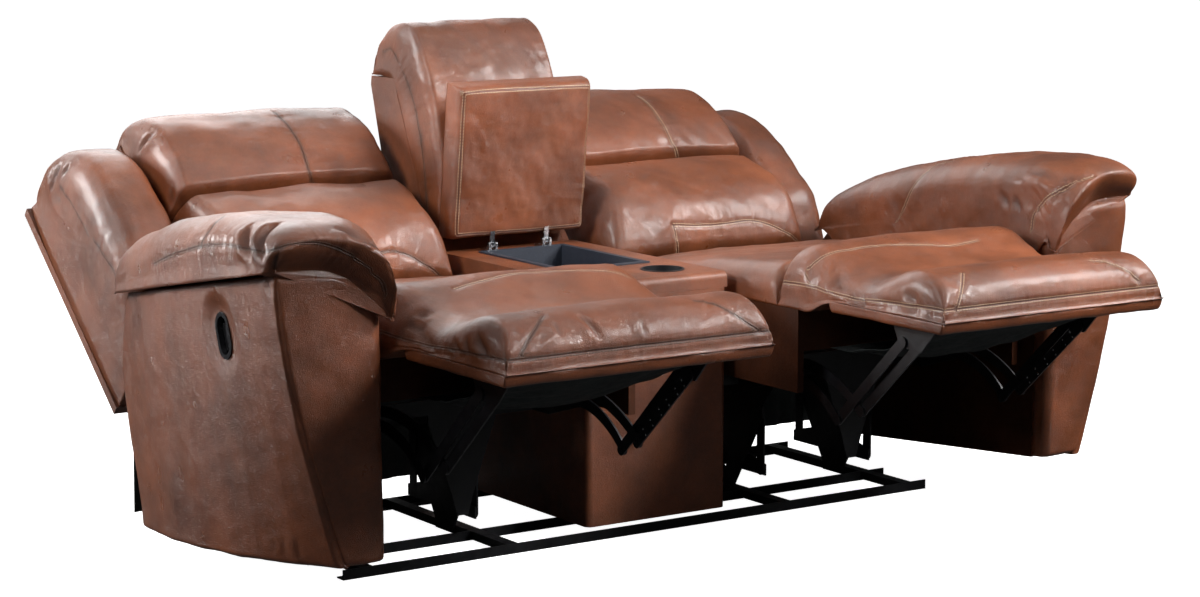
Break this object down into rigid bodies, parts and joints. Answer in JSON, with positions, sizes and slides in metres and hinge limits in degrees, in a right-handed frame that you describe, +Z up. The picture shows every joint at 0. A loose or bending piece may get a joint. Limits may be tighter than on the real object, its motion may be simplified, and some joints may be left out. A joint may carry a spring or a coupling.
{
  "type": "reclining loveseat",
  "caption": "Double reclining loveseat with a storage console between the seats, fold-out footrests, leaning backs and a gliding floor frame.",
  "frame": {"origin": "on the floor, midway along the middle cross rail of the floor frame", "axes": "+X to the right seen from the front, +Y to the back, +Z up; the front faces -Y"},
  "size_m": [2.0486, 1.7175, 0.9959],
  "materials": {
    "leather": "semi-gloss, grained",
    "black_steel": "satin black",
    "bright_steel": "bright plated",
    "bright_trim": "gloss",
    "black_plastic": "matte",
    "bin_plastic": "matte, speckled"
  },
  "bodies": {
    "base": {"base_front_rail": "black_steel", "base_middle_rail": "black_steel", "base_rear_rail": "black_steel", "base_rails_right": "black_steel", "base_rails_left": "black_steel"},
    "glide_front": {"glide_links_front": "black_steel"},
    "glide_rear": {"glide_links_rear": "black_steel"},
    "body": {"mechanism_right": "black_steel", "seat_box_right": "leather", "seat_cushion_right": "leather", "knee_pad_right": "leather", "arm_frame_right": "leather", "arm_side_right": "leather", "arm_front_right": "leather", "arm_pad_right": "leather", "handle_bezel_right": "bright_trim", "mechanism_left": "black_steel", "seat_box_left": "leather", "seat_cushion_left": "leather", "knee_pad_left": "leather", "arm_frame_left": "leather", "arm_side_left": "leather", "arm_front_left": "leather", "arm_pad_left": "leather", "handle_bezel_left": "bright_trim", "console_shell": "leather", "console_deck": "leather", "console_bin": "bin_plastic", "cup_holders": "black_plastic", "console_back_shell": "leather", "console_back_cushion": "leather", "lid_hinge_plates": "bright_steel"},
    "back_right": {"back_frame_right": "leather", "back_brackets_right": "black_steel", "lumbar_pad_right": "leather", "headrest_right": "leather", "wing_right": "leather"},
    "footrest_right": {"footrest_board_right": "leather", "footrest_pad_right": "leather", "footrest_brackets_right": "black_steel"},
    "link_lower_front_right": {"link_lower_front_right": "black_steel"},
    "link_lower_rear_right": {"link_lower_rear_right": "black_steel"},
    "link_upper_front_right": {"link_upper_front_right": "black_steel"},
    "link_upper_rear_right": {"link_upper_rear_right": "black_steel"},
    "lever_right": {"handle_lever_right": "black_plastic"},
    "back_left": {"back_frame_left": "leather", "back_brackets_left": "black_steel", "lumbar_pad_left": "leather", "headrest_left": "leather", "wing_left": "leather"},
    "footrest_left": {"footrest_board_left": "leather", "footrest_pad_left": "leather", "footrest_brackets_left": "black_steel"},
    "link_lower_front_left": {"link_lower_front_left": "black_steel"},
    "link_lower_rear_left": {"link_lower_rear_left": "black_steel"},
    "link_upper_front_left": {"link_upper_front_left": "black_steel"},
    "link_upper_rear_left": {"link_upper_rear_left": "black_steel"},
    "lever_left": {"handle_lever_left": "black_plastic"},
    "lid": {"console_lid": "leather", "lid_hinge_arms": "bright_steel"}
  },
  "joints": [
    {"name": "glide", "type": "slide", "parent": "base", "child": "body", "axis": [0, 1, 0], "range_m": [-0.025, 0.025], "stiffness_N_per_m": 6500},
    {"name": "glide_link_front", "type": "hinge", "parent": "base", "child": "glide_front", "pos_m": [0, -0.04, 0.19], "axis": [1, 0, 0], "range_deg": [-11.7, 11.7]},
    {"name": "glide_link_rear", "type": "hinge", "parent": "base", "child": "glide_rear", "pos_m": [0, 0.2, 0.19], "axis": [1, 0, 0], "range_deg": [-11.7, 11.7]},
    {"name": "back_recline_right", "type": "hinge", "parent": "body", "child": "back_right", "pos_m": [0, 0.36, 0.46], "axis": [1, 0, 0], "range_deg": [0, 36]},
    {"name": "footrest_fold_right", "type": "hinge", "parent": "body", "child": "footrest_right", "pos_m": [0, -0.4155, 0.4955], "axis": [1, 0, 0], "range_deg": [0, 90]},
    {"name": "link_lower_front_right", "type": "hinge", "parent": "body", "child": "link_lower_front_right", "pos_m": [0, -0.2473, 0.3381], "axis": [1, 0, 0], "range_deg": [0, 91.2]},
    {"name": "link_lower_rear_right", "type": "hinge", "parent": "body", "child": "link_lower_rear_right", "pos_m": [0, -0.2223, 0.3135], "axis": [1, 0, 0], "range_deg": [0, 91.2]},
    {"name": "link_upper_front_right", "type": "hinge", "parent": "footrest_right", "child": "link_upper_front_right", "pos_m": [0, -0.6529, 0.4265], "axis": [1, 0, 0], "range_deg": [-90.5, 0]},
    {"name": "link_upper_rear_right", "type": "hinge", "parent": "footrest_right", "child": "link_upper_rear_right", "pos_m": [0, -0.6124, 0.4286], "axis": [1, 0, 0], "range_deg": [-90.5, 0]},
    {"name": "release_lever_right", "type": "hinge", "parent": "body", "child": "lever_right", "pos_m": [0.979, -0.21731, 0.50138], "axis": [0, 0.342, 0.9397], "range_deg": [0, 25], "stiffness_Nm_per_rad": 0.4, "springref_deg": -5.73},
    {"name": "back_recline_left", "type": "hinge", "parent": "body", "child": "back_left", "pos_m": [0, 0.36, 0.46], "axis": [1, 0, 0], "range_deg": [0, 36]},
    {"name": "footrest_fold_left", "type": "hinge", "parent": "body", "child": "footrest_left", "pos_m": [0, -0.4155, 0.4955], "axis": [1, 0, 0], "range_deg": [0, 90]},
    {"name": "link_lower_front_left", "type": "hinge", "parent": "body", "child": "link_lower_front_left", "pos_m": [0, -0.2473, 0.3381], "axis": [1, 0, 0], "range_deg": [0, 91.2]},
    {"name": "link_lower_rear_left", "type": "hinge", "parent": "body", "child": "link_lower_rear_left", "pos_m": [0, -0.2223, 0.3135], "axis": [1, 0, 0], "range_deg": [0, 91.2]},
    {"name": "link_upper_front_left", "type": "hinge", "parent": "footrest_left", "child": "link_upper_front_left", "pos_m": [0, -0.6529, 0.4265], "axis": [1, 0, 0], "range_deg": [-90.5, 0]},
    {"name": "link_upper_rear_left", "type": "hinge", "parent": "footrest_left", "child": "link_upper_rear_left", "pos_m": [0, -0.6124, 0.4286], "axis": [1, 0, 0], "range_deg": [-90.5, 0]},
    {"name": "release_lever_left", "type": "hinge", "parent": "body", "child": "lever_left", "pos_m": [-0.979, -0.21731, 0.50138], "axis": [0, -0.342, -0.9397], "range_deg": [0, 25], "stiffness_Nm_per_rad": 0.4, "springref_deg": -5.73},
    {"name": "lid_open", "type": "hinge", "parent": "body", "child": "lid", "pos_m": [0, 0.352, 0.533], "axis": [1, 0, 0], "range_deg": [0, 83]}
  ],
  "couplings": [
    {"joint": "glide_link_front", "follows": "glide", "rad_per_m": 8.05},
    {"joint": "glide_link_rear", "follows": "glide", "rad_per_m": 8.05},
    {"joint": "link_lower_front_right", "follows": "footrest_fold_right", "ratio": 1.01},
    {"joint": "link_lower_rear_right", "follows": "footrest_fold_right", "ratio": 0.99556},
    {"joint": "link_upper_front_right", "follows": "footrest_fold_right", "ratio": -1.0022},
    {"joint": "link_upper_rear_right", "follows": "footrest_fold_right", "ratio": -1},
    {"joint": "link_lower_front_left", "follows": "footrest_fold_left", "ratio": 1.01},
    {"joint": "link_lower_rear_left", "follows": "footrest_fold_left", "ratio": 0.99556},
    {"joint": "link_upper_front_left", "follows": "footrest_fold_left", "ratio": -1.0022},
    {"joint": "link_upper_rear_left", "follows": "footrest_fold_left", "ratio": -1}
  ]
}
